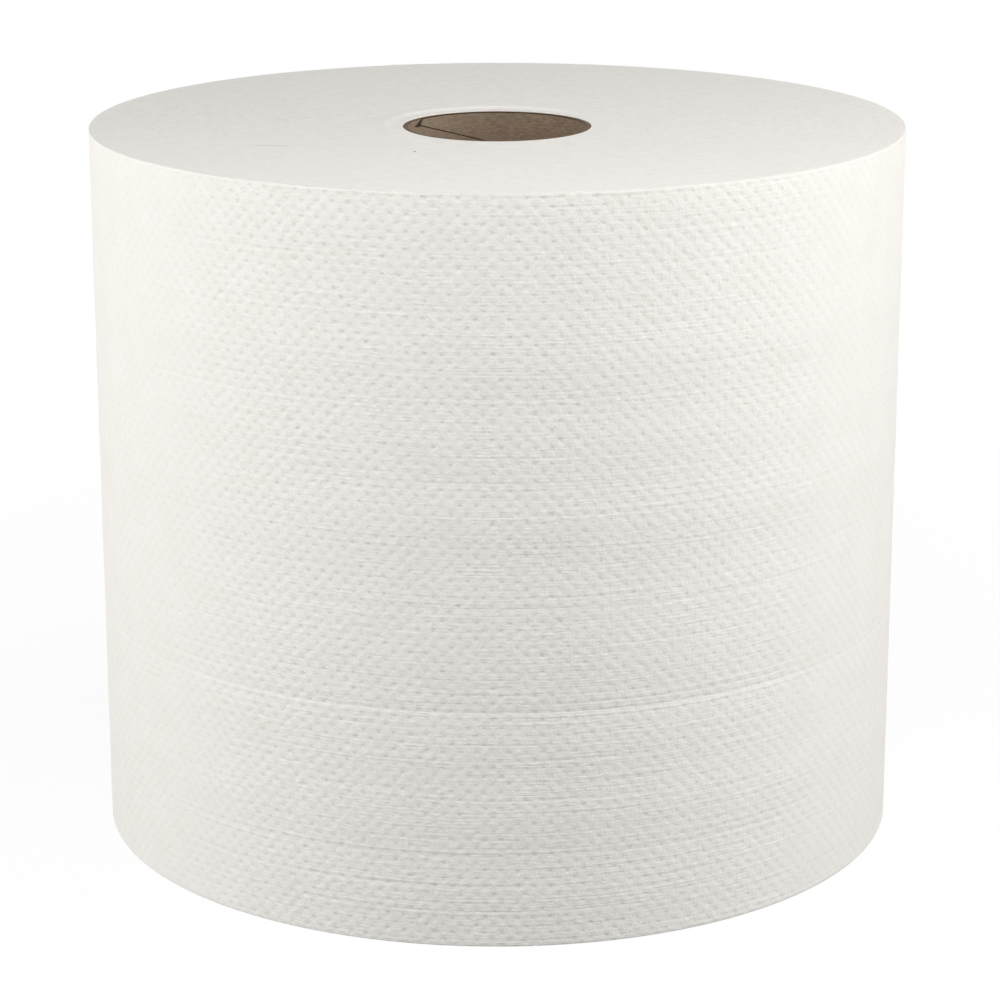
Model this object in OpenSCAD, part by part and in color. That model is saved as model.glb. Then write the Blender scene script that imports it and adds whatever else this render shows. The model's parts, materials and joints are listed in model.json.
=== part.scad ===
// Nonwoven wipe roll: one long perforated web, wound in a spiral on a
// spiral-wound paperboard core, standing on its lower end.
// The origin is the centre of the lower end, and +Z runs up the core.

/* [Wound web] */
// Diameter of the full roll
roll_d = 346; // [240:1:420]
// Width of the web, which is the height of the standing roll
web_w = 305; // [150:1:400]
// Thickness of one embossed layer, which is the step at the free end
web_t = 0.5; // [0.3:0.05:1.2]
// Rounding of the soft edges of the outer turn
edge_round = 0.5; // [0.3:0.1:3]
// Direction of the free end of the web, turned from +X
tail_angle = 107; // [0:1:359]

/* [Turns on the ends] */
// Width of the level rim that the last turns make at the upper end
rim_w = 2.5; // [2:0.5:10]
// Depth to which the inner turns have settled at the upper end
end_dish = 2.5; // [0.5:0.1:8]
// Width of the collar that the first turns make round the core
collar_w = 4; // [2:0.5:10]
// Height of that collar above the settled turns
collar_h = 0.5; // [0.1:0.1:2]
// Radial spacing of the turn lines
turn_gap = 4; // [3:0.5:12]
// Width of a turn line
turn_line_w = 0.6; // [0.3:0.1:1.2]
// Depth of a turn line
turn_line_depth = 0.3; // [0.1:0.05:0.8]

/* [Tear lines] */
// Length of one sheet, from one tear line to the next
sheet_l = 340; // [200:1:500]
// Length of one slit
slit_l = 6; // [3:0.5:15]
// Uncut length between two slits
slit_tie = 2; // [1:0.5:6]
// Width of a slit
slit_w = 0.4; // [0.2:0.1:1]

/* [Core] */
// Inside diameter of the core
core_bore = 76.2; // [50:0.1:110]
// Wall thickness of the core
core_wall = 2; // [1.2:0.1:6]
// Gap all round between the core and the first turn
core_gap = 0.1; // [0.05:0.05:0.5]
// Drop from the collar to the core's upper edge
core_drop = 0.5; // [0.1:0.1:3]
// Thickness of the core's inner ply
ply_t = 0.5; // [0.2:0.1:0.6]
// Rise of the inner ply's seam in one turn
seam_lead = 68; // [40:1:120]
// Width of the open seam
seam_w = 0.5; // [0.3:0.1:1.5]
// Depth of the open seam
seam_depth = 0.8; // [0.7:0.1:1]
// Direction in which the seam runs out at the upper edge
seam_angle = 165; // [0:1:359]
// Depth of the corner torn off the inner ply at the upper edge
torn_depth = 3; // [1:0.5:8]
// Turn from the seam's end to the far end of that torn corner
torn_turn = 18; // [15:1:40]

/* [Hidden] */
$fn = 96;

// Room by which a cutting shape passes the surface that it cuts
over = 1;
// Height of a turn line's cutter above the end of the roll
line_over = 0.1;
// Steps that follow one turn of the seam, and sides of its section
seam_steps = 48;
seam_sides = 4;

roll_r = roll_d / 2;
bore_r = core_bore / 2;
core_r = bore_r + core_wall;
hole_r = core_r + core_gap;
collar_r = hole_r + collar_w;
rim_r = roll_r - rim_w;

// Height of the settled turns beside the collar, of the collar and of the core
settled_z = web_w - end_dish;
collar_z = settled_z + collar_h;
core_l = collar_z - core_drop;

// The outer turn is two half turns about two centres, half a layer apart
tail_shift = web_t / 2;
// So are the turn lines, half a line spacing apart
line_shift = turn_gap / 2;
line_radii = [for (r = collar_r + turn_gap; r < rim_r - turn_gap / 2; r = r + turn_gap) r];

sheet_angle = 360 * sheet_l / (PI * roll_d);
tear_count = floor(360 / sheet_angle);
slit_step = slit_l + slit_tie;
slit_count = floor((web_w - 2 * edge_round) / slit_step);
slit_foot = (web_w - slit_count * slit_step + slit_tie) / 2;

seam_rise_angle = atan(seam_lead / (PI * core_bore));
seam_chord = seam_w / sin(seam_rise_angle);
seam_turns = (core_l + 2 * over) / seam_lead;

// Height of the upper end at a distance from the axis, between the collar and the rim
function upper_z(r) = web_w - end_dish * (rim_r - r) / (rim_r - collar_r);

// Distance from the axis to the outer turn, at an angle on from the free end
function outer_r(angle) =
    sin(angle) < 0
        ? roll_r
        : sqrt(pow(roll_r - tail_shift, 2) - pow(tail_shift * sin(angle), 2)) - tail_shift * cos(angle);

// Half section of the roll, with both outer edges rounded
module roll_section(r) {
    square([r - edge_round, web_w]);
    translate([0, edge_round]) square([r, web_w - 2 * edge_round]);
    for (z = [edge_round, web_w - edge_round])
        translate([r - edge_round, z]) circle(r = edge_round);
}

// The two half turns, with the free end's step on the -X side
module outer_turn() {
    rotate_extrude(angle = 180) roll_section(roll_r);
    translate([tail_shift, 0, 0])
        rotate([0, 0, 180])
            rotate_extrude(angle = 180) roll_section(roll_r - tail_shift);
}

// What the settled turns leave open at the upper end, down to the collar and the dish
module dish_cutter() {
    rotate_extrude()
        polygon([
            [0, collar_z],
            [collar_r - collar_h, collar_z],
            [collar_r, settled_z],
            [rim_r, web_w],
            [rim_r, web_w + over],
            [0, web_w + over]
        ]);
}

// Section of one turn line, cut down into an end
module line_section() {
    wide = turn_line_w / 2 * (1 + line_over / turn_line_depth);
    polygon([[-wide, line_over], [wide, line_over], [0, -turn_line_depth]]);
}

// One half turn of every line on the upper and the lower end
module half_lines(shift) {
    rotate_extrude(angle = 180)
        for (r = line_radii) {
            translate([r - shift, upper_z(r)]) line_section();
            translate([r - shift, 0]) mirror([0, 1]) line_section();
        }
}

// The turn lines run on from one half turn to the next as one spiral
module turn_lines() {
    half_lines(0);
    translate([line_shift, 0, 0]) rotate([0, 0, 180]) half_lines(line_shift);
}

// One tear line: a row of slits through the outer layer
module tear_line(angle) {
    rotate([0, 0, 180 - angle])
        for (i = [0 : slit_count - 1])
            translate([outer_r(-angle) - web_t, -slit_w / 2, slit_foot + i * slit_step])
                cube([web_t + over, slit_w, slit_l]);
}

// The web, wound to one solid
module wound_web() {
    color("whitesmoke")
        rotate([0, 0, tail_angle - 180])
            difference() {
                outer_turn();
                translate([0, 0, -over]) cylinder(r = hole_r, h = web_w + 2 * over);
                dish_cutter();
                turn_lines();
                for (i = [1 : tear_count]) tear_line(i * sheet_angle);
            }
}

// The open seam between turns of the inner ply, right-handed up the core
module ply_seam() {
    translate([0, 0, core_l + over])
        rotate([0, 0, seam_angle + 360 * over / seam_lead])
            mirror([0, 0, 1])
                linear_extrude(
                    height = core_l + 2 * over,
                    twist = 360 * seam_turns,
                    slices = ceil(seam_steps * seam_turns),
                    segments = seam_sides
                )
                    translate([bore_r, 0]) square([2 * seam_depth, seam_chord], center = true);
}

// The corner of the inner ply that is torn off between the seam and the upper edge
module torn_corner() {
    half_w = bore_r * sin(torn_turn / 2);
    tip_x = bore_r * sin(360 * torn_depth / seam_lead - torn_turn / 2);
    intersection() {
        cylinder(r = bore_r + ply_t, h = core_l + over);
        translate([0, 0, core_l])
            rotate([90, 0, seam_angle - torn_turn / 2 - 90])
                translate([0, 0, -core_r])
                    linear_extrude(height = core_r)
                        polygon([
                            [-half_w, over],
                            [half_w, over],
                            [half_w, 0],
                            [tip_x, -torn_depth],
                            [-half_w, 0]
                        ]);
    }
}

// The paperboard core
module core_tube() {
    color("tan")
        difference() {
            cylinder(r = core_r, h = core_l);
            translate([0, 0, -over]) cylinder(r = bore_r, h = core_l + 2 * over);
            ply_seam();
            torn_corner();
        }
}

core_tube();
wound_web();
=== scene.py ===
import json
import math

import bmesh
import bpy
import numpy as np
from mathutils import Matrix, Vector


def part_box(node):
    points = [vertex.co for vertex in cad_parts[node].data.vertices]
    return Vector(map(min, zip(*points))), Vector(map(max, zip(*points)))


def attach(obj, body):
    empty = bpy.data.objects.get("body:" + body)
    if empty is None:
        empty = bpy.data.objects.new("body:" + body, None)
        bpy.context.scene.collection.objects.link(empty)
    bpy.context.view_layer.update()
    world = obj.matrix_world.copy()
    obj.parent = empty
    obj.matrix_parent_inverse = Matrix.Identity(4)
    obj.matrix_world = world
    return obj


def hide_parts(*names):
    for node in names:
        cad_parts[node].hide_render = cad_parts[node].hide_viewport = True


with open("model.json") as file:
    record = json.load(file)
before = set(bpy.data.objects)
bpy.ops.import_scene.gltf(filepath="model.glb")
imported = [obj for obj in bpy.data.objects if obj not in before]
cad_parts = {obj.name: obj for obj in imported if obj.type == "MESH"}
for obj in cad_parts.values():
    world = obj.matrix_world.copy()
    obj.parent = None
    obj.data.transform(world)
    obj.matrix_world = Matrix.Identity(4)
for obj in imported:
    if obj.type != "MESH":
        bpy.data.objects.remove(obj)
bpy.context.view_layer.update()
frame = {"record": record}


# Paperboard core
# A tube of brown paperboard strips, each wound as a helix and glued on the last. The edges of the innermost
# strip leave an open seam, and a corner of that strip is torn off at the upper end.
MM = 0.001
core_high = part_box("core_tube")[1]
core_r = core_high[0]
core_l = core_high[2]
bore_r = frame["record"]["mounts"][0]["dims"]["r_mm"] * MM
ply_t = 0.5 * MM
strips_r = bore_r + ply_t
seam_lead = 68 * MM
seam_open = 0.5 * MM
seam_angle = 165
core_steps = 144


def linear(hex_colour):
    """An sRGB hex colour as the linear colour that Blender takes."""
    shares = [int(hex_colour[i:i + 2], 16) / 255 for i in (1, 3, 5)]
    return [s / 12.92 if s <= 0.04045 else ((s + 0.055) / 1.055) ** 2.4 for s in shares] + [1.0]


def add_node(tree, kind, inputs=None, **settings):
    """Adds a node, sets its settings, and sets or links its inputs."""
    made = tree.nodes.new(kind)
    for name, value in settings.items():
        setattr(made, name, value)
    for name, value in (inputs or {}).items():
        if isinstance(value, bpy.types.NodeSocket):
            tree.links.new(value, made.inputs[name])
        else:
            made.inputs[name].default_value = value
    return made


def new_tree(name):
    """An empty node material and its tree."""
    material = bpy.data.materials.new(name)
    material.use_nodes = True
    material.node_tree.nodes.clear()
    return material, material.node_tree


def pick(piece, test):
    """Selects, in edit mode, the vertices whose place passes the test, and all between them."""
    bpy.ops.mesh.select_mode(type="VERT")
    bpy.ops.mesh.select_all(action="DESELECT")
    shape = bmesh.from_edit_mesh(piece.data)
    for vertex in shape.verts:
        vertex.select = test(vertex.co)
    shape.select_flush(True)
    bmesh.update_edit_mesh(piece.data)


def face_outwards():
    """Turns all faces of the piece in edit mode outwards and goes back to object mode."""
    bpy.ops.mesh.select_all(action="SELECT")
    bpy.ops.mesh.normals_make_consistent(inside=False)
    bpy.ops.object.mode_set(mode="OBJECT")


# The outer strips together are a plain tube
bpy.ops.object.select_all(action="DESELECT")
bpy.ops.mesh.primitive_circle_add(vertices=core_steps, radius=core_r, fill_type="NOTHING")
core = bpy.context.object
core.name = "paperboard_core"
bpy.ops.object.mode_set(mode="EDIT")
bpy.ops.mesh.select_all(action="SELECT")
bpy.ops.mesh.extrude_edges_indiv()
wall_share = strips_r / core_r
bpy.ops.transform.resize(value=(wall_share, wall_share, 1))
bpy.ops.mesh.select_all(action="SELECT")
bpy.ops.mesh.extrude_region_move(TRANSFORM_OT_translate={"value": (0, 0, core_l)})
face_outwards()

# The inner strip is a flat section wound up the tube, and a dark strip of painted shade lies in its open seam
seam_foot = core_l - seam_lead * (seam_angle / 360 + math.ceil(core_l / seam_lead) + 1)
ply_turns = math.ceil((core_l - seam_foot) / seam_lead) + 1
seam_shade_t = 0.08 * MM
seam_shade_over = 0.25 * MM
ply_cuts = 27
seam_shade_cuts = 1


def wind_strip(near, far, middle, wide, cuts):
    """A strip between two radii, wound up the whole core, with its inner face cut lengthwise."""
    bpy.ops.object.select_all(action="DESELECT")
    bpy.ops.mesh.primitive_plane_add(size=1, rotation=(math.pi / 2, 0, 0))
    strip = bpy.context.object
    bpy.ops.object.transform_apply(location=False, rotation=True, scale=False)
    bpy.ops.object.mode_set(mode="EDIT")
    bpy.ops.mesh.select_all(action="SELECT")
    bpy.ops.transform.resize(value=(far - near, 1, wide))
    bpy.ops.transform.translate(value=((near + far) / 2, 0, middle))
    bpy.ops.mesh.delete(type="ONLY_FACE")
    pick(strip, lambda place: place.x < (near + far) / 2)
    bpy.ops.mesh.subdivide(number_cuts=cuts)
    bpy.ops.object.mode_set(mode="OBJECT")
    wind = strip.modifiers.new("wind", "SCREW")
    wind.axis = "Z"
    wind.angle = 2 * math.pi
    wind.screw_offset = seam_lead
    wind.iterations = ply_turns
    wind.steps = core_steps
    wind.render_steps = core_steps
    bpy.ops.object.modifier_apply(modifier="wind")
    bpy.ops.object.mode_set(mode="EDIT")
    for trim_z, trim_up in ((core_l, 1), (0, -1)):
        bpy.ops.mesh.select_all(action="SELECT")
        bpy.ops.mesh.bisect(
            plane_co=(0, 0, trim_z), plane_no=(0, 0, trim_up), use_fill=True, clear_outer=True
        )
    face_outwards()
    return strip


ply = wind_strip(bore_r, strips_r, seam_foot + seam_lead / 2, seam_lead - seam_open, ply_cuts)
seam_shade = wind_strip(strips_r - seam_shade_t, strips_r, seam_foot, seam_open + 2 * seam_shade_over, seam_shade_cuts)

# The torn corner lies between the seam and the upper edge; angles in degrees, depths in millimetres
torn_edge = [(146.4, -1), (147.2, 0), (147.4, 0.5), (148.7, 1.4), (149.3, 2.2), (150.1, 2.7), (150.4, 3.5)]
torn_seam = [(153.5, 3.4), (157.5, 2.8), (161.5, 1.3), (166, 0.4), (168, -0.2), (168, -1)]
tear_shade_edge = [(153.5, 3.35), (157.4, 2.75), (153.5, 2), (150.2, 0.9), (147.6, 0.05)]
tear_over = 2 * MM


def wall_patch(outline, near, far):
    """A patch of the core's wall with this outline, between two distances from the axis."""
    bpy.ops.object.select_all(action="DESELECT")
    bpy.ops.mesh.primitive_circle_add(vertices=len(outline), radius=1, fill_type="NGON")
    patch = bpy.context.object
    for vertex, (angle, depth) in zip(patch.data.vertices, outline):
        across = Vector((math.cos(math.radians(angle)), math.sin(math.radians(angle)), 0))
        vertex.co = across * near + Vector((0, 0, core_l - depth * MM))
    bpy.ops.object.mode_set(mode="EDIT")
    bpy.ops.mesh.select_all(action="SELECT")
    bpy.ops.mesh.extrude_region()
    bpy.ops.transform.resize(value=(far / near, far / near, 1), center_override=(0, 0, 0))
    face_outwards()
    return patch


tear = wall_patch(torn_edge + torn_seam, bore_r - tear_over, strips_r + tear_over)
for layer in (ply, seam_shade):
    bpy.ops.object.select_all(action="DESELECT")
    bpy.context.view_layer.objects.active = layer
    layer.select_set(True)
    rip = layer.modifiers.new("rip", "BOOLEAN")
    rip.operation = "DIFFERENCE"
    rip.solver = "EXACT"
    rip.object = tear
    bpy.ops.object.modifier_apply(modifier="rip")
bpy.data.objects.remove(tear)
# A patch of painted shade lies along the torn edge, where the strip stands off the wall
tear_shade = wall_patch(torn_edge[1:] + tear_shade_edge, strips_r - seam_shade_t, strips_r)

# The strip has come away from the tube a little beside the tear
curl_angle = math.radians(148.5)
curl_in = 0.4 * MM
curl_reach = 4 * MM
curl_end = 0.1
for vertex in ply.data.vertices:
    turn = math.atan2(vertex.co.y, vertex.co.x) - curl_angle
    if turn < curl_end:
        near = math.exp(-(turn * bore_r / curl_reach) ** 2 - ((core_l - vertex.co.z) / curl_reach) ** 2)
        shrink = 1 - curl_in * near / bore_r
        vertex.co.x *= shrink
        vertex.co.y *= shrink

# Recycled paperboard, calendered: dull brown with pale and dark fibre flecks lying along the winding. It is
# rubbed paler beside the tear, and painted light makes it paler towards the left of the bore. It is darker
# where it is cut across, and a painted shadow darkens the inner edge of each end on the far side, where the
# core meets the web
grain_size = (2.5 * MM, 2.5 * MM, 0.6 * MM)
blotch_size = 9 * MM
painted_light_left = 0.25
rub_angle = math.radians(145)
rub_drop = 1.8 * MM
rub_reach = 3.2 * MM
cut_near = 0.25 * MM
cut_far = 0.45 * MM
rim_shadow_near = 0.3 * MM
rim_shadow_far = 0.5 * MM
paperboard, tree = new_tree("recycled_paperboard")
place = add_node(tree, "ShaderNodeTexCoord").outputs["Object"]
grain_place = add_node(
    tree, "ShaderNodeMapping", {"Vector": place, "Scale": [1 / size for size in grain_size]}
)
grain = add_node(
    tree, "ShaderNodeTexNoise", {"Vector": grain_place.outputs["Vector"], "Scale": 1.0, "Detail": 4.0}
)
blotch = add_node(
    tree, "ShaderNodeTexNoise", {"Vector": place, "Scale": 1 / blotch_size, "Detail": 3.0, "Roughness": 0.6}
)
core_parts = add_node(tree, "ShaderNodeSeparateXYZ", {"Vector": place})
# Painted light: the tone is paler towards the left of the bore, on top of the random blotches
blotch_and_painted_light = add_node(
    tree,
    "ShaderNodeMath",
    {0: core_parts.outputs["X"], 1: -painted_light_left / bore_r, 2: blotch.outputs["Fac"]},
    operation="MULTIPLY_ADD",
)
tone = add_node(
    tree,
    "ShaderNodeMixRGB",
    {"Fac": blotch_and_painted_light.outputs["Value"], "Color1": linear("#685746"), "Color2": linear("#8c7a68")},
)
fleck = add_node(
    tree,
    "ShaderNodeMapRange",
    {"Value": grain.outputs["Fac"], "From Min": 0.35, "From Max": 0.65, "To Max": 0.5},
)
flecked = add_node(
    tree,
    "ShaderNodeMixRGB",
    {"Fac": fleck.outputs["Result"], "Color1": tone.outputs["Color"], "Color2": linear("#a08e7b")},
)
rub_place = (bore_r * math.cos(rub_angle), bore_r * math.sin(rub_angle), core_l - rub_drop)
from_rub = add_node(tree, "ShaderNodeVectorMath", {0: place, 1: rub_place}, operation="DISTANCE")
rubbed = add_node(
    tree,
    "ShaderNodeMapRange",
    {"Value": from_rub.outputs["Value"], "From Min": rub_reach, "From Max": 1 * MM, "To Max": 0.6},
)
paper_tone = add_node(
    tree,
    "ShaderNodeMixRGB",
    {"Fac": rubbed.outputs["Result"], "Color1": flecked.outputs["Color"], "Color2": linear("#8e8a76")},
)
core_flat = add_node(tree, "ShaderNodeVectorMath", {0: place, 1: (1, 1, 0)}, operation="MULTIPLY")
core_out = add_node(tree, "ShaderNodeVectorMath", {0: core_flat.outputs["Vector"]}, operation="LENGTH")
from_middle = add_node(
    tree, "ShaderNodeMath", {0: core_parts.outputs["Z"], 1: core_l / 2}, operation="SUBTRACT"
)
from_middle = add_node(tree, "ShaderNodeMath", {0: from_middle.outputs["Value"]}, operation="ABSOLUTE")
cut_across = add_node(
    tree,
    "ShaderNodeMapRange",
    {
        "Value": from_middle.outputs["Value"],
        "From Min": core_l / 2 - cut_far,
        "From Max": core_l / 2 - cut_near,
    },
)
# Painted shadow: the inner edge of each end is darkened on the far side of the bore, where the core meets the
# web
inner_edge = add_node(
    tree,
    "ShaderNodeMapRange",
    {"Value": core_out.outputs["Value"], "From Min": bore_r + rim_shadow_far, "From Max": bore_r + rim_shadow_near},
)
at_back = add_node(
    tree,
    "ShaderNodeMapRange",
    {"Value": core_parts.outputs["Y"], "From Min": 0.1 * bore_r, "From Max": 0.6 * bore_r},
)
painted_rim_shadow = add_node(
    tree,
    "ShaderNodeMath",
    {0: inner_edge.outputs["Result"], 1: at_back.outputs["Result"]},
    operation="MULTIPLY",
)
cut_and_rim_shadow_colour = add_node(
    tree,
    "ShaderNodeMixRGB",
    {"Fac": painted_rim_shadow.outputs["Value"], "Color1": linear("#6a5949"), "Color2": linear("#352b22")},
)
tone_with_rim_shadow = add_node(
    tree,
    "ShaderNodeMixRGB",
    {
        "Fac": cut_across.outputs["Result"],
        "Color1": paper_tone.outputs["Color"],
        "Color2": cut_and_rim_shadow_colour.outputs["Color"],
    },
)
paper_bump = add_node(
    tree, "ShaderNodeBump", {"Strength": 0.5, "Distance": 0.15 * MM, "Height": grain.outputs["Fac"]}
)
paper_face = add_node(
    tree,
    "ShaderNodeBsdfPrincipled",
    {
        "Base Color": tone_with_rim_shadow.outputs["Color"],
        "Roughness": 0.9,
        "IOR": 1.5,
        "Specular IOR Level": 0.15,
        "Normal": paper_bump.outputs["Normal"],
    },
)
add_node(tree, "ShaderNodeOutputMaterial", {"Surface": paper_face.outputs["BSDF"]})

# Painted shade for the open seam and along the tear: dark brown, uneven, a little shinier than the paper
painted_shade, tree = new_tree("painted_seam_and_tear_shade")
place = add_node(tree, "ShaderNodeTexCoord").outputs["Object"]
shade_noise = add_node(tree, "ShaderNodeTexNoise", {"Vector": place, "Scale": 1 / (2 * MM), "Detail": 3.0})
shade_tone = add_node(
    tree,
    "ShaderNodeMixRGB",
    {"Fac": shade_noise.outputs["Fac"], "Color1": linear("#241b14"), "Color2": linear("#3a2e24")},
)
shade_bump = add_node(
    tree, "ShaderNodeBump", {"Strength": 0.5, "Distance": 0.1 * MM, "Height": shade_noise.outputs["Fac"]}
)
shade_face = add_node(
    tree,
    "ShaderNodeBsdfPrincipled",
    {
        "Base Color": shade_tone.outputs["Color"],
        "Roughness": 0.65,
        "IOR": 1.48,
        "Specular IOR Level": 0.3,
        "Normal": shade_bump.outputs["Normal"],
    },
)
add_node(tree, "ShaderNodeOutputMaterial", {"Surface": shade_face.outputs["BSDF"]})

bpy.ops.object.select_all(action="DESELECT")
for layer, surface in ((seam_shade, painted_shade), (tear_shade, painted_shade), (ply, paperboard), (core, paperboard)):
    layer.data.materials.clear()
    layer.data.materials.append(surface)
    layer.select_set(True)
bpy.context.view_layer.objects.active = core
bpy.ops.object.join()
bpy.ops.object.shade_smooth_by_angle(angle=math.radians(30))
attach(core, "root")
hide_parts("core_tube")


# Wound turns
# One long white nonwoven web, wound tight on the core. Its slit edges make the two ends of the roll. The
# upper end has settled into a shallow dish, with a soft collar where the first turns are glued to the core.
web_low, web_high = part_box("wound_web")
web_w = web_high[2]
roll_r = max(*web_high[:2], -web_low[0], -web_low[1])
core_gap = 0.1 * MM
hole_r = core_r + core_gap
web_t = 0.5 * MM
edge_round = 0.5 * MM
rim_w = 2.5 * MM
tail_angle = math.radians(107)
end_dish = 2.5 * MM
collar_w = 4 * MM
collar_h = 0.5 * MM
end_rings = 110
turn_steps = 288
draw = np.random.default_rng(7)


def waves(count, shortest, longest, *shape):
    """A soft random function of a length, or a stack of them, as a sum of sines between two wavelengths."""
    lengths = draw.uniform(shortest, longest, (*shape, count))
    starts = draw.uniform(0, 2 * math.pi, (*shape, count))

    def level(x):
        turns = 2 * math.pi * np.asarray(x)[..., None] / lengths[..., None, :] + starts[..., None, :]
        return np.sin(turns).sum(axis=-1) / math.sqrt(count)

    return level


def mesh_places(piece):
    """The places of a mesh's vertices as an array of x, y and z."""
    places = np.empty(len(piece.data.vertices) * 3)
    piece.data.vertices.foreach_get("co", places)
    return places.reshape(-1, 3)


def set_places(piece, places):
    """Puts the vertices of a mesh at these places."""
    piece.data.vertices.foreach_set("co", places.ravel())
    piece.data.update()


def collar_here(r):
    """Height of the collar above the settled turns at a distance from the axis."""
    return collar_h * np.exp(-((r - hole_r) / collar_w) ** 4)


def upper_z(r):
    """Height of the upper end at a distance from the axis: a dish, a level rim and the collar."""
    rim_r = roll_r - rim_w
    dish = end_dish * np.clip((rim_r - r) / (rim_r - hole_r), 0, 1)
    return web_w - dish + collar_here(r)


# The outer layer, laid on later, makes the rounded edges
end_radii = np.linspace(hole_r, roll_r - web_t, end_rings)
section = [(r, 0) for r in end_radii] + [(r, upper_z(r)) for r in end_radii[::-1]]
bpy.ops.object.select_all(action="DESELECT")
bpy.ops.mesh.primitive_circle_add(vertices=len(section), radius=1, fill_type="NOTHING")
turns = bpy.context.object
turns.name = "wound_turns"
for vertex, (r, z) in zip(turns.data.vertices, section):
    vertex.co = (r, 0, z)
bpy.ops.object.mode_set(mode="EDIT")
bpy.ops.mesh.select_all(action="SELECT")
bpy.ops.mesh.spin(steps=turn_steps, angle=2 * math.pi, center=(0, 0, 0), axis=(0, 0, 1))
bpy.ops.mesh.select_all(action="SELECT")
bpy.ops.mesh.remove_doubles(threshold=0.01 * MM)
face_outwards()

# Layers that stand a little high or low make soft rings on the ends, and the whole end waves a little. The
# collar is worn down in front, and behind it a few layers stand up in a low ridge
ring_relief = 0.07 * MM
end_wave = 0.35 * MM
end_wave_turn = 0.6
ridge_r = hole_r + 8.5 * MM
ridge_h = 1.1 * MM
ridge_w = 3.2 * MM
ridge_angle = math.radians(115)
places = mesh_places(turns)
radius = np.hypot(places[:, 0], places[:, 1])
angle = np.arctan2(places[:, 1], places[:, 0])
upper = places[:, 2] > web_w / 2
ring = np.clip(np.rint((radius - hole_r) / (end_radii[1] - end_radii[0])), 0, end_rings - 1).astype(int)
ring_high = draw.normal(0, 1, end_rings)
ring_swell = draw.uniform(0, 2 * math.pi, end_rings)
on_end = (radius > hole_r + MM) & (radius < roll_r - web_t - MM)
relief = ring_relief * ring_high[ring] * (0.7 + 0.3 * np.sin(2 * angle + ring_swell[ring]))
sag = end_wave * np.sin(2 * angle + end_wave_turn) * np.sin(math.pi * (radius - hole_r) / (roll_r - hole_r))
places[:, 2] += np.where(on_end & upper, relief + sag, 0)
places[:, 2] += np.where(on_end & ~upper, np.abs(relief), 0)
places[:, 2] -= np.where(upper, collar_here(radius) * (1 - np.sin(angle)) / 2, 0)
ridge = ridge_h * np.exp(-((radius - ridge_r) / ridge_w) ** 2) * (1 + np.cos(angle - ridge_angle)) / 2
places[:, 2] += np.where(upper, ridge, 0)

# The outermost layers follow the spiral, one layer further in at the start of the last turn
outer_w = 8 * MM
outer_rise = 7 * MM
behind = np.mod(tail_angle - angle, 2 * math.pi) / (2 * math.pi)
outer_share = np.clip((radius - roll_r + outer_w) / outer_rise, 0, 1)
pull = 1 - web_t * behind * outer_share / radius
places[:, 0] *= pull
places[:, 1] *= pull
set_places(turns, places)

# Nonwoven seen on its slit edges: soft matt white, with rings of layers, a faint mottle, two patches of loose
# lint, a thin scratch and a speck. Single layers would be too fine to show, so the rings are drawn wider
layer_gap = 0.8 * MM
ring_drift = 3
mottle_size = 5 * MM
fibre_size = 1.2 * MM
lint_size = (2 * MM, 7 * MM, 2 * MM)
lint_patches = (((-112 * MM, 20 * MM, web_w), 0.3), ((100 * MM, 10 * MM, web_w), 0.16))
patch_near = 15 * MM
patch_far = 70 * MM
scratch_middle = (-91.2 * MM, -60 * MM, web_w)
scratch_half = (12.5 * MM, 0.35 * MM, 4 * MM)
speck_middle = (-33.4 * MM, -69.6 * MM, web_w)
speck_half = (0.9 * MM, 1.2 * MM, 4 * MM)
slit_nonwoven, tree = new_tree("nonwoven_slit_edges")
place = add_node(tree, "ShaderNodeTexCoord").outputs["Object"]
flat_place = add_node(tree, "ShaderNodeVectorMath", {0: place, 1: (1, 1, 0)}, operation="MULTIPLY")
from_axis = add_node(tree, "ShaderNodeVectorMath", {0: flat_place.outputs["Vector"]}, operation="LENGTH")
towards = add_node(tree, "ShaderNodeVectorMath", {0: flat_place.outputs["Vector"]}, operation="NORMALIZE")
ring_number = add_node(
    tree, "ShaderNodeMath", {0: from_axis.outputs["Value"], 1: 1 / layer_gap}, operation="MULTIPLY"
)
ring_place = add_node(
    tree, "ShaderNodeVectorMath", {0: towards.outputs["Vector"], 1: [ring_drift] * 3}, operation="MULTIPLY"
)
ring_parts = add_node(tree, "ShaderNodeSeparateXYZ", {"Vector": ring_place.outputs["Vector"]})
ring_vector = add_node(
    tree,
    "ShaderNodeCombineXYZ",
    {"X": ring_parts.outputs["X"], "Y": ring_parts.outputs["Y"], "Z": ring_number.outputs["Value"]},
)
layers = add_node(
    tree, "ShaderNodeTexNoise", {"Vector": ring_vector.outputs["Vector"], "Scale": 1.0, "Detail": 3.0}
)
fibres = add_node(tree, "ShaderNodeTexNoise", {"Vector": place, "Scale": 1 / fibre_size, "Detail": 4.0})
mottle = add_node(
    tree, "ShaderNodeTexNoise", {"Vector": place, "Scale": 1 / mottle_size, "Detail": 5.0, "Roughness": 0.7}
)
end_height = add_node(
    tree, "ShaderNodeMixRGB", {"Fac": 0.4, "Color1": layers.outputs["Fac"], "Color2": fibres.outputs["Fac"]}
)
end_bump = add_node(
    tree, "ShaderNodeBump", {"Strength": 0.5, "Distance": 0.25 * MM, "Height": end_height.outputs["Color"]}
)
end_tone = add_node(
    tree,
    "ShaderNodeMixRGB",
    {"Fac": mottle.outputs["Fac"], "Color1": linear("#f8f5f0"), "Color2": linear("#e5e2dc")},
)
lint_place = add_node(
    tree, "ShaderNodeMapping", {"Vector": place, "Scale": [1 / size for size in lint_size]}
)
lint_noise = add_node(tree, "ShaderNodeTexNoise", {"Vector": lint_place.outputs["Vector"], "Scale": 1.0})
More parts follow.
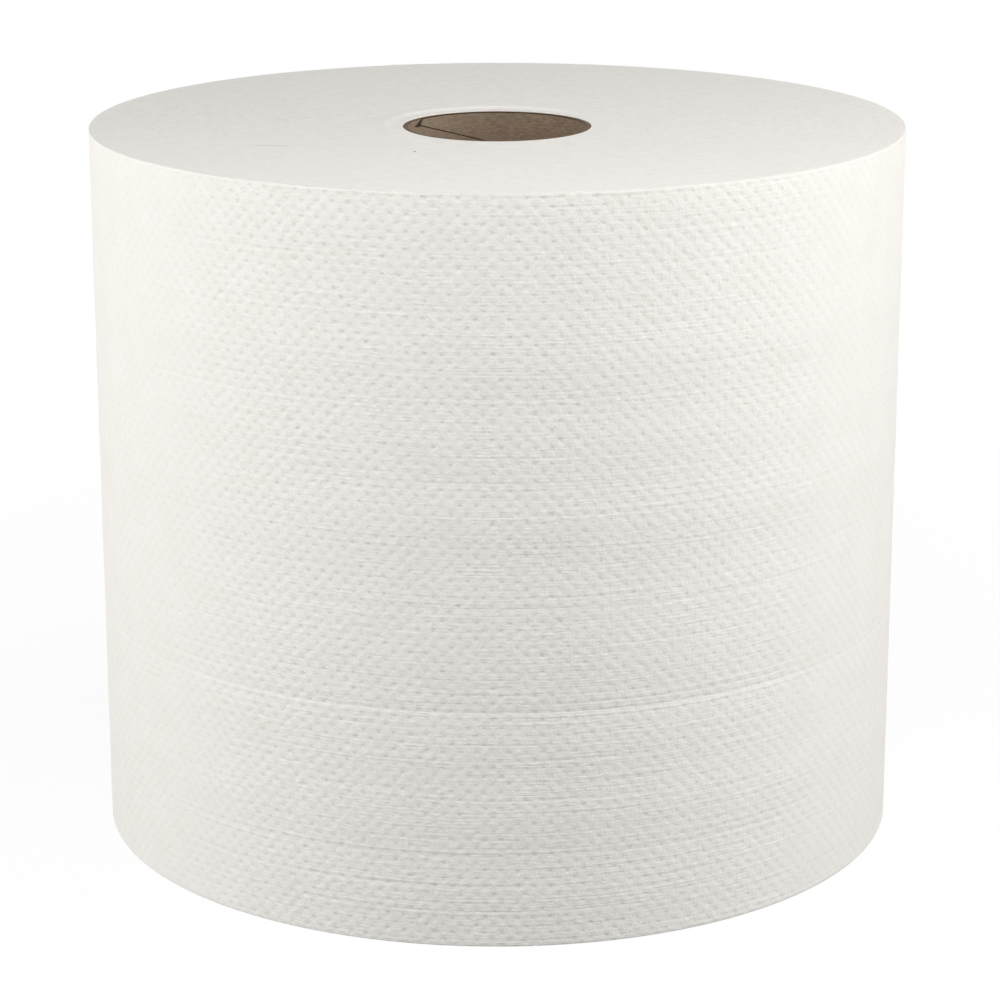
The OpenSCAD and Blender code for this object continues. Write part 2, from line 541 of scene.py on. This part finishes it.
lint_share = add_node(
    tree, "ShaderNodeMapRange", {"Value": lint_noise.outputs["Fac"], "From Min": 0.6, "From Max": 0.74}
)
lint_near = []
for patch_middle, patch_most in lint_patches:
    from_patch = add_node(tree, "ShaderNodeVectorMath", {0: place, 1: patch_middle}, operation="DISTANCE")
    near_patch = add_node(
        tree,
        "ShaderNodeMapRange",
        {
            "Value": from_patch.outputs["Value"],
            "From Min": patch_far,
            "From Max": patch_near,
            "To Min": 0.05,
            "To Max": patch_most,
        },
    )
    lint_near.append(near_patch.outputs["Result"])
lint_most = add_node(tree, "ShaderNodeMath", {0: lint_near[0], 1: lint_near[1]}, operation="MAXIMUM")
lint_share = add_node(
    tree,
    "ShaderNodeMath",
    {0: lint_share.outputs["Result"], 1: lint_most.outputs["Value"]},
    operation="MULTIPLY",
)
end_tone = add_node(
    tree,
    "ShaderNodeMixRGB",
    {"Fac": lint_share.outputs["Value"], "Color1": end_tone.outputs["Color"], "Color2": linear("#bcb7ae")},
)
for mark_middle, mark_half, mark_colour in (
    (scratch_middle, scratch_half, "#a39b90"), (speck_middle, speck_half, "#3c352d")
):
    mark_place = add_node(tree, "ShaderNodeVectorMath", {0: place, 1: mark_middle}, operation="SUBTRACT")
    mark_place = add_node(
        tree, "ShaderNodeVectorMath", {0: mark_place.outputs["Vector"], 1: mark_half}, operation="DIVIDE"
    )
    mark_reach = add_node(tree, "ShaderNodeVectorMath", {0: mark_place.outputs["Vector"]}, operation="LENGTH")
    mark_share = add_node(
        tree, "ShaderNodeMapRange", {"Value": mark_reach.outputs["Value"], "From Min": 1.0, "From Max": 0.6}
    )
    end_tone = add_node(
        tree,
        "ShaderNodeMixRGB",
        {
            "Fac": mark_share.outputs["Result"],
            "Color1": end_tone.outputs["Color"],
            "Color2": linear(mark_colour),
        },
    )
end_face = add_node(
    tree,
    "ShaderNodeBsdfPrincipled",
    {
        "Base Color": end_tone.outputs["Color"],
        "Roughness": 0.9,
        "IOR": 1.45,
        "Specular IOR Level": 0.2,
        "Normal": end_bump.outputs["Normal"],
    },
)
add_node(tree, "ShaderNodeOutputMaterial", {"Surface": end_face.outputs["BSDF"]})
turns.data.materials.append(slit_nonwoven)
bpy.ops.object.shade_smooth_by_angle(angle=math.radians(40))
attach(turns, "root")
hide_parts("wound_web")


# Outer turn
# The last sheets of the web, laid round the roll between tear lines. The web is embossed with staggered dots,
# and creased along its length where it was wound tight. Each tear line is a row of slits with short ties.
sheet_l = 340 * MM
dots_along = 52
dot_rows = 91
dot_wide = 0.85 * MM
dot_high = 0.7 * MM
dot_depth = 0.09 * MM
pillow = 0.04 * MM
crease_depth = 0.045 * MM
slit_l = 6 * MM
slit_tie = 2 * MM
slit_depth = 0.05 * MM
slit_side = 0.3 * MM
tail_lift = 0.15 * MM
tail_loose = 14 * MM
tail_wave = 0.4
half_pitch = sheet_l / dots_along / 2
row_pitch = (web_w - 2 * edge_round) / dot_rows
turn_l = 2 * math.pi * roll_r

# Each row of vertices, from the lower edge upwards: step in from the outer face, height, outward direction
lip_steps = [math.pi / 2, math.pi / 3, math.pi / 6]
lower_lip = [
    (edge_round * (math.cos(a) - 1), edge_round * (1 - math.sin(a)), math.cos(a), -math.sin(a))
    for a in lip_steps
]
upper_lip = [(step, web_w - z, out, -up) for step, z, out, up in lower_lip[::-1]]
row_heights = edge_round + (np.arange(dot_rows) + 0.5) * row_pitch
wall_heights = (row_heights[:, None] + np.array([-dot_high, 0, dot_high])).ravel()
wall_heights = [edge_round, *wall_heights, web_w - edge_round]
rows = np.array(lower_lip + [(0, z, 1, 0) for z in wall_heights] + upper_lip)
first_dot_row = len(lower_lip) + 1
in_slit = np.mod(rows[:, 1] - slit_tie, slit_l + slit_tie) < slit_l

# A dot is pressed to its full depth in the middle, and to these shares beside, above and below it
share_beside = np.array([0.4, 1, 0.4])
share_above = np.array([0.4, 1, 0.4])

# What the embossing does along the whole web is drawn once, so that it runs on from sheet to sheet
crease_run = waves(4, 30 * MM, 190 * MM, dot_rows)
faint_along = waves(5, 40 * MM, 240 * MM)
faint_up = waves(4, 25 * MM, 140 * MM)
wall_wave_up = waves(4, 18 * MM, 90 * MM)
wall_wave_along = waves(3, 200 * MM, 700 * MM)
wall_wave = 0.1 * MM
flank_from = 0.62
flank_to = 0.93
flank_least = 0.3


def flank_share(turn):
    """How deep the embossing is at an angle round the roll: it is flatter on the two flanks."""
    share = np.clip((np.abs(np.sin(turn)) - flank_from) / (flank_to - flank_from), 0, 1)
    return flank_least + (1 - flank_least) * share ** 2 * (3 - 2 * share)


def emboss(u):
    """For each row and column, how far the face stands out, and how grey it is drawn, from 0 to 1: how hard
    the web is pressed, with painted shade on the rounded edges and in the slits.
    """
    out = np.zeros((len(rows), len(u)))
    press_and_shade = np.zeros((len(rows), len(u)))
    half_count = (len(u) - 4) // 3
    centres = u[3:-2:3]
    first_half = int(round(u[0] / half_pitch))
    crease_limit = 0.2 + 0.9 * (row_heights / web_w) ** 1.5
    crease = np.clip((crease_run(u) - crease_limit[:, None]) / 0.5, 0, 1)
    firm = 0.85 + 0.18 * faint_along(centres) + 0.18 * faint_up(row_heights)[:, None]
    firm = np.clip(firm, 0.4, 1.1) * draw.uniform(0.6, 1.05, (dot_rows, half_count))
    firm *= flank_share(tail_angle - centres / roll_r)
    for j in range(dot_rows):
        at = first_dot_row + 3 * j
        dotted = (np.arange(half_count) + first_half + j) % 2 == 0
        dots = share_above[:, None] * (np.where(dotted, firm[j], 0)[:, None] * share_beside).ravel()
        out[at:at + 3, 2:-2] -= dot_depth * dots
        out[at + 1, 2:-2] += pillow * np.repeat(~dotted, 3)
        out[at + 1] -= crease_depth * crease[j]
        press_and_shade[at + 1] += 0.1 * crease[j]
    # Painted shade: the rounded edges are greyed to tone down the light they catch, and the sheet ends are
    # greyed, most in the slits of the tear lines
    press_and_shade[:len(lower_lip)] = 1
    press_and_shade[-len(upper_lip):] = 1
    press_and_shade[:, [0, -1]] = np.where(in_slit, 0.6, 0.2)[:, None]
    out[:, [0, -1]] = np.where(in_slit, -slit_depth, 0)[:, None]
    out += wall_wave * wall_wave_up(rows[:, 1])[:, None] * (0.7 + 0.3 * wall_wave_along(u))
    return out, np.clip(press_and_shade, 0, 1)


def lay_sheet(name, start, length, free_end):
    """One stretch of the outer turn, from a distance back from the free end of the web."""
    half_count = int(length / half_pitch)
    centres = start + (np.arange(half_count) + 0.5) * half_pitch
    u = (centres[:, None] + np.array([-dot_wide, 0, dot_wide])).ravel()
    u = np.concatenate([[start, start + slit_side], u, [start + length - slit_side, start + length]])
    bpy.ops.object.select_all(action="DESELECT")
    bpy.ops.mesh.primitive_grid_add(x_subdivisions=len(u) - 1, y_subdivisions=len(rows) - 1, size=1)
    sheet = bpy.context.object
    sheet.name = name
    flat = mesh_places(sheet) + 0.5
    column = np.rint(flat[:, 0] * (len(u) - 1)).astype(int)
    row = np.rint(flat[:, 1] * (len(rows) - 1)).astype(int)

    out, press_and_shade = emboss(u)
    if free_end:
        loose = np.clip(1 - (u - start) / tail_loose, 0, 1) ** 2
        out += tail_lift * loose * (1 + tail_wave * wall_wave_up(rows[:, 1])[:, None])
    out[[0, -1]] = 0

    local_r = roll_r - web_t * u[column] / turn_l
    turn = tail_angle - u[column] / roll_r
    step, height, outward, upward = rows[row].T
    stand = out[row, column]
    r = local_r + step + stand * outward
    set_places(sheet, np.stack([r * np.cos(turn), r * np.sin(turn), height + stand * upward], axis=1))

    # The map gives the length along the web and the height in metres, the attribute how hard it is pressed,
    # with painted shade on the rounded edges and in the slits
    corner = np.empty(len(sheet.data.loops), dtype=int)
    sheet.data.loops.foreach_get("vertex_index", corner)
    lengths = np.stack([u[column], height], axis=1)
    sheet.data.uv_layers[0].data.foreach_set("uv", lengths[corner].ravel())
    sheet.data.attributes.new("press_and_shade", "FLOAT", "POINT").data.foreach_set("value", press_and_shade[row, column])

    # The inner face joins the two long edges, and then the two ends are closed
    bpy.ops.object.mode_set(mode="EDIT")
    edge_z = lower_lip[0][1] + 0.01 * MM
    pick(sheet, lambda place: place.z < edge_z or place.z > web_w - edge_z)
    bpy.ops.mesh.bridge_edge_loops()
    bpy.ops.mesh.select_all(action="DESELECT")
    bpy.ops.mesh.select_non_manifold()
    bpy.ops.mesh.fill_holes(sides=0)
    face_outwards()
    bpy.ops.object.shade_smooth_by_angle(angle=math.radians(60))
    return sheet


# Embossed nonwoven: matt warm white, a little greyer where fibres are pressed together. Fine lines run along
# the web, fibres across it, fuzz and soft lumps lie between the dots, and a few folds run round the roll
embossed, tree = new_tree("embossed_nonwoven")
web_place = add_node(tree, "ShaderNodeUVMap", uv_map="UVMap").outputs["UV"]
web_parts = add_node(tree, "ShaderNodeSeparateXYZ", {"Vector": web_place}).outputs
web_height = web_parts["Y"]
place = add_node(tree, "ShaderNodeTexCoord").outputs["Object"]
flat_place = add_node(tree, "ShaderNodeVectorMath", {0: place, 1: (1, 1, 0)}, operation="MULTIPLY")
towards = add_node(tree, "ShaderNodeVectorMath", {0: flat_place.outputs["Vector"]}, operation="NORMALIZE")
towards_parts = add_node(tree, "ShaderNodeSeparateXYZ", {"Vector": towards.outputs["Vector"]})
from_front = add_node(tree, "ShaderNodeMath", {0: towards_parts.outputs["Y"]}, operation="ABSOLUTE")
# The relief is fainter on the two flanks, and the grey of the dots and fuzz is paler there, which is painted
# light where the side lamps fall
flank = add_node(
    tree,
    "ShaderNodeMapRange",
    {
        "Value": from_front.outputs["Value"],
        "From Min": flank_from,
        "From Max": flank_to,
        "To Min": flank_least,
    },
    interpolation_type="SMOOTHSTEP",
)

# One upright strip, to the right of the middle, has fainter relief, and paler grey that is painted light;
# places as shares of the radius
strip_middle = 0.42
strip_near = 0.05
strip_far = 0.32
strip_least = 0.75
from_strip = add_node(
    tree, "ShaderNodeMath", {0: towards_parts.outputs["X"], 1: strip_middle}, operation="SUBTRACT"
)
from_strip = add_node(tree, "ShaderNodeMath", {0: from_strip.outputs["Value"]}, operation="ABSOLUTE")
faint_strip = add_node(
    tree,
    "ShaderNodeMapRange",
    {
        "Value": from_strip.outputs["Value"],
        "From Min": strip_near,
        "From Max": strip_far,
        "To Min": strip_least,
    },
    interpolation_type="SMOOTHSTEP",
)
flank = add_node(
    tree,
    "ShaderNodeMath",
    {0: flank.outputs["Result"], 1: faint_strip.outputs["Result"]},
    operation="MULTIPLY",
)

# Embossed dots: they stand at the middles of the cells of a slanted lattice, and wander a little from it.
# Each lies in a wider dimple, and some are pressed harder than others; depths in millimetres
dot_half = (1.5 * MM, 1.15 * MM)
dot_press = 0.115
dimple_reach = 2.2
dimple_press = 0.1
stray_size = 14 * MM
stray_most = 1.2 * MM
firm_size = 6 * MM
firm_least = 0.6
firm_most = 1.15
stray = add_node(
    tree,
    "ShaderNodeTexNoise",
    {"Vector": web_place, "Scale": 1 / stray_size, "Detail": 0.0},
    noise_dimensions="2D",
)
stray_place = add_node(
    tree,
    "ShaderNodeVectorMath",
    {0: stray.outputs["Color"], 1: (stray_most, stray_most, 0), 2: web_place},
    operation="MULTIPLY_ADD",
)
dot_place = add_node(
    tree,
    "ShaderNodeMapping",
    {
        "Vector": stray_place.outputs["Vector"],
        "Location": (-stray_most / 2 / half_pitch, -(edge_round + stray_most / 2) / row_pitch, 0),
        "Scale": (1 / half_pitch, 1 / row_pitch, 1),
    },
)
cell = []
for up_share, middle in ((0.5, 0), (-0.5, 0.5)):
    step = add_node(
        tree,
        "ShaderNodeVectorMath",
        {0: dot_place.outputs["Vector"], 1: (0.5, up_share, 0)},
        operation="DOT_PRODUCT",
    )
    step = add_node(tree, "ShaderNodeMath", {0: step.outputs["Value"], 1: middle}, operation="ADD")
    step = add_node(tree, "ShaderNodeMath", {0: step.outputs["Value"]}, operation="FRACT")
    cell.append(add_node(tree, "ShaderNodeMath", {0: step.outputs["Value"], 1: 0.5}, operation="SUBTRACT"))
in_cell = add_node(
    tree, "ShaderNodeCombineXYZ", {"X": cell[0].outputs["Value"], "Y": cell[1].outputs["Value"]}
)
beside_share = half_pitch / dot_half[0]
above_share = row_pitch / dot_half[1]
beside_dot = add_node(
    tree,
    "ShaderNodeVectorMath",
    {0: in_cell.outputs["Vector"], 1: (beside_share, beside_share, 0)},
    operation="DOT_PRODUCT",
)
above_dot = add_node(
    tree,
    "ShaderNodeVectorMath",
    {0: in_cell.outputs["Vector"], 1: (above_share, -above_share, 0)},
    operation="DOT_PRODUCT",
)
from_dot = add_node(
    tree, "ShaderNodeCombineXYZ", {"X": beside_dot.outputs["Value"], "Y": above_dot.outputs["Value"]}
)
from_dot = add_node(tree, "ShaderNodeVectorMath", {0: from_dot.outputs["Vector"]}, operation="LENGTH")
dot_shape = add_node(
    tree,
    "ShaderNodeMapRange",
    {"Value": from_dot.outputs["Value"], "From Min": 1.0, "From Max": 0.2},
    interpolation_type="SMOOTHSTEP",
)
dimple = add_node(
    tree,
    "ShaderNodeMapRange",
    {"Value": from_dot.outputs["Value"], "From Min": dimple_reach, "From Max": 0.2, "To Max": dimple_press},
    interpolation_type="SMOOTHSTEP",
)
firm = add_node(
    tree,
    "ShaderNodeTexNoise",
    {"Vector": web_place, "Scale": 1 / firm_size, "Detail": 1.0},
    noise_dimensions="2D",
)
firm_share = add_node(
    tree,
    "ShaderNodeMapRange",
    {
        "Value": firm.outputs["Fac"],
        "From Min": 0.3,
        "From Max": 0.7,
        "To Min": firm_least,
        "To Max": firm_most,
    },
)
dot = add_node(
    tree,
    "ShaderNodeMath",
    {0: dot_shape.outputs["Result"], 1: firm_share.outputs["Result"]},
    operation="MULTIPLY",
)

# Fuzz and soft lumps between the dots; heights in millimetres
fuzz_size = 0.8 * MM
fuzz_high = 0.095
lump_size = 2.8 * MM
lump_high = 0.28
fuzz = add_node(
    tree,
    "ShaderNodeTexNoise",
    {"Vector": web_place, "Scale": 1 / fuzz_size, "Detail": 1.0},
    noise_dimensions="2D",
)
web_relief = add_node(tree, "ShaderNodeMath", {0: fuzz.outputs["Fac"], 1: fuzz_high}, operation="MULTIPLY")
lumps = add_node(
    tree,
    "ShaderNodeTexNoise",
    {"Vector": web_place, "Scale": 1 / lump_size, "Detail": 1.0},
    noise_dimensions="2D",
)
web_relief = add_node(
    tree,
    "ShaderNodeMath",
    {0: lumps.outputs["Fac"], 1: lump_high, 2: web_relief.outputs["Value"]},
    operation="MULTIPLY_ADD",
)
web_relief = add_node(
    tree,
    "ShaderNodeMath",
    {0: dot.outputs["Value"], 1: -dot_press, 2: web_relief.outputs["Value"]},
    operation="MULTIPLY_ADD",
)
dimple_here = add_node(
    tree,
    "ShaderNodeMath",
    {0: dimple.outputs["Result"], 1: firm_share.outputs["Result"]},
    operation="MULTIPLY",
)
web_relief = add_node(
    tree,
    "ShaderNodeMath",
    {0: web_relief.outputs["Value"], 1: dimple_here.outputs["Value"]},
    operation="SUBTRACT",
)

# Lines along the web and fibres across it: length along the web, height, share of the noise left out, depth
# in millimetres. They are fainter towards the upper end and on the left
web_lines = (
    (8 * MM, 0.9 * MM, 0.03, 0.042), (200 * MM, 1.1 * MM, 0.06, 0.06), (1.3 * MM, 3.5 * MM, 0.06, 0.024)
)
line_most = 0.2
fade_from = 100 * MM
fade_to = 300 * MM
lower_lines = 0.85
upper_lines = 0.55
left_most = -0.5
left_lines = 0.6
right_lines = 1.05
upper_share = add_node(
    tree,
    "ShaderNodeMapRange",
    {
        "Value": web_height,
        "From Min": fade_from,
        "From Max": fade_to,
        "To Min": lower_lines,
        "To Max": upper_lines,
    },
)
left_share = add_node(
    tree,
    "ShaderNodeMapRange",
    {
        "Value": towards_parts.outputs["X"],
        "From Min": left_most,
        "From Max": 0.0,
        "To Min": left_lines,
        "To Max": right_lines,
    },
)
line_share = add_node(
    tree,
    "ShaderNodeMath",
    {0: upper_share.outputs["Result"], 1: left_share.outputs["Result"]},
    operation="MULTIPLY",
)
for line_l, line_h, line_from, line_depth in web_lines:
    line_place = add_node(
        tree, "ShaderNodeMapping", {"Vector": web_place, "Scale": (1 / line_l, 1 / line_h, 1)}
    )
    line_noise = add_node(
        tree,
        "ShaderNodeTexNoise",
        {"Vector": line_place.outputs["Vector"], "Scale": 1.0, "Detail": 1.0},
        noise_dimensions="2D",
    )
    for side in (-1, 1):
        line = add_node(
            tree,
            "ShaderNodeMapRange",
            {
                "Value": line_noise.outputs["Fac"],
                "From Min": 0.5 + side * line_from,
                "From Max": 0.5 + side * line_most,
                "To Max": side * line_depth,
            },
        )
        web_relief = add_node(
            tree,
            "ShaderNodeMath",
            {0: line.outputs["Result"], 1: line_share.outputs["Value"], 2: web_relief.outputs["Value"]},
            operation="MULTIPLY_ADD",
        )

# Folds: height, depth, and reach above and below, each in millimetres. They wander a little up and down
fold_wander = 1.2 * MM
wander_size = 70 * MM
wander = add_node(
    tree,
    "ShaderNodeTexNoise",
    {"W": web_parts["X"], "Scale": 1 / wander_size, "Detail": 1.0},
    noise_dimensions="1D",
)
fold_height = add_node(
    tree,
    "ShaderNodeMath",
    {0: wander.outputs["Fac"], 1: fold_wander, 2: web_height},
    operation="MULTIPLY_ADD",
)
folds = (
    (98.6, 0.15, 5.0, 1.5), (98.9, 0.08, 1.2, 1.2), (103.9, -0.06, 1.2, 1.2), (140.8, 0.1, 1.7, 1.7),
    (38.5, 0.07, 1.7, 1.7), (25.6, 0.07, 1.7, 1.7), (191, 0.05, 1.7, 1.7)
)
for fold_z, fold_depth, reach_up, reach_down in folds:
    from_fold = add_node(
        tree,
        "ShaderNodeMath",
        {0: fold_height.outputs["Value"], 1: fold_z * MM + fold_wander / 2},
        operation="SUBTRACT",
    )
    above = add_node(
        tree,
        "ShaderNodeMapRange",
        {"Value": from_fold.outputs["Value"], "From Min": reach_up * MM, "From Max": 0.0},
        interpolation_type="SMOOTHSTEP",
    )
    below = add_node(
        tree,
        "ShaderNodeMapRange",
        {
            "Value": from_fold.outputs["Value"],
            "From Min": -reach_down * MM,
            "From Max": 0.0,
            "To Max": -fold_depth,
        },
        interpolation_type="SMOOTHSTEP",
    )
    web_relief = add_node(
        tree,
        "ShaderNodeMath",
        {0: above.outputs["Result"], 1: below.outputs["Result"], 2: web_relief.outputs["Value"]},
        operation="MULTIPLY_ADD",
    )

relief_here = add_node(
    tree, "ShaderNodeMath", {0: web_relief.outputs["Value"], 1: flank.outputs["Value"]}, operation="MULTIPLY"
)
web_bump = add_node(
    tree, "ShaderNodeBump", {"Strength": 0.88, "Distance": MM, "Height": relief_here.outputs["Value"]}
)

# Colour: soft clouds, greyer in the dots, in the thin spots of the fuzz and where the web is pressed, and
# painted shade on the rounded edges and in the slits of the tear lines
cloud_size = 16 * MM
dot_grey = 0.22
thin_grey = 0.06
press_and_shade_grey = 0.35
cloud = add_node(
    tree,
    "ShaderNodeTexNoise",
    {"Vector": web_place, "Scale": 1 / cloud_size, "Detail": 2.0},
    noise_dimensions="2D",
)
web_tone = add_node(
    tree,
    "ShaderNodeMixRGB",
    {"Fac": cloud.outputs["Fac"], "Color1": linear("#f4f1ec"), "Color2": linear("#efece6")},
)
press_and_shade = add_node(tree, "ShaderNodeAttribute", attribute_name="press_and_shade")
thin = add_node(
    tree,
    "ShaderNodeMapRange",
    {"Value": fuzz.outputs["Fac"], "From Min": 0.55, "From Max": 0.3, "To Max": thin_grey},
)
grey_share = add_node(
    tree,
    "ShaderNodeMath",
    {0: dot.outputs["Value"], 1: dot_grey, 2: thin.outputs["Result"]},
    operation="MULTIPLY_ADD",
)
# Painted light: the grey of the dots and fuzz is paler on the two flanks and on the strip
grey_share = add_node(
    tree, "ShaderNodeMath", {0: grey_share.outputs["Value"], 1: flank.outputs["Value"]}, operation="MULTIPLY"
)
grey_share = add_node(
    tree,
    "ShaderNodeMath",
    {0: press_and_shade.outputs["Fac"], 1: press_and_shade_grey, 2: grey_share.outputs["Value"]},
    operation="MULTIPLY_ADD",
)
grey_tone = add_node(
    tree,
    "ShaderNodeMixRGB",
    {"Fac": grey_share.outputs["Value"], "Color1": web_tone.outputs["Color"], "Color2": linear("#bdb8b0")},
)
web_face = add_node(
    tree,
    "ShaderNodeBsdfPrincipled",
    {
        "Base Color": grey_tone.outputs["Color"],
        "Roughness": 0.85,
        "IOR": 1.45,
        "Specular IOR Level": 0.25,
        "Normal": web_bump.outputs["Normal"],
    },
)
add_node(tree, "ShaderNodeOutputMaterial", {"Surface": web_face.outputs["BSDF"]})

whole_sheets = int(turn_l / sheet_l)
for k in range(whole_sheets + 1):
    sheet = lay_sheet(f"outer_turn_{k + 1}", k * sheet_l, min(sheet_l, turn_l - k * sheet_l), free_end=k == 0)
    sheet.data.materials.append(embossed)
    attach(sheet, "root")
    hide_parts("wound_web")


# Table, light and camera
# A plain white table and surround. Soft light comes from both sides, from in front, from two smaller lamps
# close in front and above, and from low behind. The camera stands in front of the roll, above its upper
# end, and looks down on it through a long lens.
bpy.ops.object.select_all(action="DESELECT")
table_size = 16
bpy.ops.mesh.primitive_plane_add(size=table_size)
table = bpy.context.object
table.name = "table"


def add_seen(tree):
    """Gives 1 for a ray from the camera, a reflection or a clear body, and 0 for light that bounces."""
    sees = add_node(tree, "ShaderNodeLightPath").outputs
    seen = add_node(
        tree, "ShaderNodeMath", {0: sees["Is Camera Ray"], 1: sees["Is Glossy Ray"]}, operation="MAXIMUM"
    )
    seen = add_node(
        tree,
        "ShaderNodeMath",
        {0: seen.outputs["Value"], 1: sees["Is Transmission Ray"]},
        operation="MAXIMUM",
    )
    return seen.outputs["Value"]


# Matt white board: it shows as white with a faint shadow, and throws back only a little light
shadow_near = 0.2
shadow_far = 0.7
glow_least = 0.9
white_table, tree = new_tree("matt_white_board")
seen = add_seen(tree)
table_place = add_node(tree, "ShaderNodeTexCoord").outputs["Object"]
from_roll = add_node(tree, "ShaderNodeVectorMath", {0: table_place}, operation="LENGTH")
glow_here = add_node(
    tree,
    "ShaderNodeMapRange",
    {
        "Value": from_roll.outputs["Value"],
        "From Min": shadow_near,
        "From Max": shadow_far,
        "To Min": glow_least,
    },
)
glow_share = add_node(tree, "ShaderNodeMath", {0: seen, 1: glow_here.outputs["Result"]}, operation="MULTIPLY")
table_tone = add_node(
    tree, "ShaderNodeMixRGB", {"Fac": seen, "Color1": linear("#8a8a8a"), "Color2": linear("#fafafa")}
)
table_matt = add_node(tree, "ShaderNodeBsdfDiffuse", {"Color": table_tone.outputs["Color"]})
table_glow = add_node(tree, "ShaderNodeEmission", {"Strength": 1.0})
table_face = add_node(
    tree,
    "ShaderNodeMixShader",
    {"Fac": glow_share.outputs["Value"], 1: table_matt.outputs["BSDF"], 2: table_glow.outputs["Emission"]},
)
add_node(tree, "ShaderNodeOutputMaterial", {"Surface": table_face.outputs["Shader"]})
table.data.materials.append(white_table)

surround = bpy.data.worlds.new("white_surround")
surround.use_nodes = True
tree = surround.node_tree
tree.nodes.clear()
dim_surround = add_node(tree, "ShaderNodeBackground", {"Color": (1, 1, 1, 1), "Strength": 0.1})
white_surround = add_node(tree, "ShaderNodeBackground", {"Color": (1, 1, 1, 1), "Strength": 1.0})
both_surrounds = add_node(
    tree,
    "ShaderNodeMixShader",
    {"Fac": add_seen(tree), 1: dim_surround.outputs["Background"], 2: white_surround.outputs["Background"]},
)
add_node(tree, "ShaderNodeOutputWorld", {"Surface": both_surrounds.outputs["Shader"]})
bpy.context.scene.world = surround

# Each lamp: place and size in metres, and power in watts, aimed at the middle of the roll
lamps = {
    "left": ((-1.4, 0, 0.5), 1.0, 10.6),
    "left_front": ((-1.2, -0.7, 0.6), 1.0, 6.2),
    "right": ((1.4, 0, 0.5), 1.0, 8.2),
    "right_high": ((1.1, 0, 1.2), 1.0, 8.0),
    "front": ((0, -2.0, 0.9), 1.0, 8.3),
    "near_front": ((0, -0.7, 0.85), 0.5, 1.9),
    "near_right": ((0.5, -0.7, 0.8), 0.5, 2.7),
    "back": ((0, 1.7, 0.2), 0.4, 9.0),
}
roll_middle = Vector((0, 0, web_w / 2))
for name, (lamp_place, lamp_size, power) in lamps.items():
    light = bpy.data.lights.new(name, "AREA")
    light.size = lamp_size
    light.energy = power
    lamp = bpy.data.objects.new(name, light)
    lamp.location = lamp_place
    lamp.rotation_euler = (roll_middle - lamp.location).to_track_quat("-Z", "Y").to_euler()
    lamp.visible_camera = False
    bpy.context.scene.collection.objects.link(lamp)

camera_lens = 116.16
camera_back = 1.3659
camera_above = 0.2176
camera_down = math.radians(15.767)
camera_aside = math.radians(0.048)
camera_roll = math.radians(0.034)
sensor_w = 36
camera = bpy.data.objects.new("camera", bpy.data.cameras.new("camera"))
camera.data.sensor_width = sensor_w
camera.data.lens = camera_lens
camera.location = (0, -camera_back, web_w + camera_above)
camera.rotation_euler = (
    Matrix.Rotation(-camera_aside, 3, "Z")
    @ Matrix.Rotation(math.pi / 2 - camera_down, 3, "X")
    @ Matrix.Rotation(-camera_roll, 3, "Z")
).to_euler()
bpy.context.scene.collection.objects.link(camera)
bpy.context.scene.camera = camera
bpy.context.scene.view_settings.view_transform = "Standard"
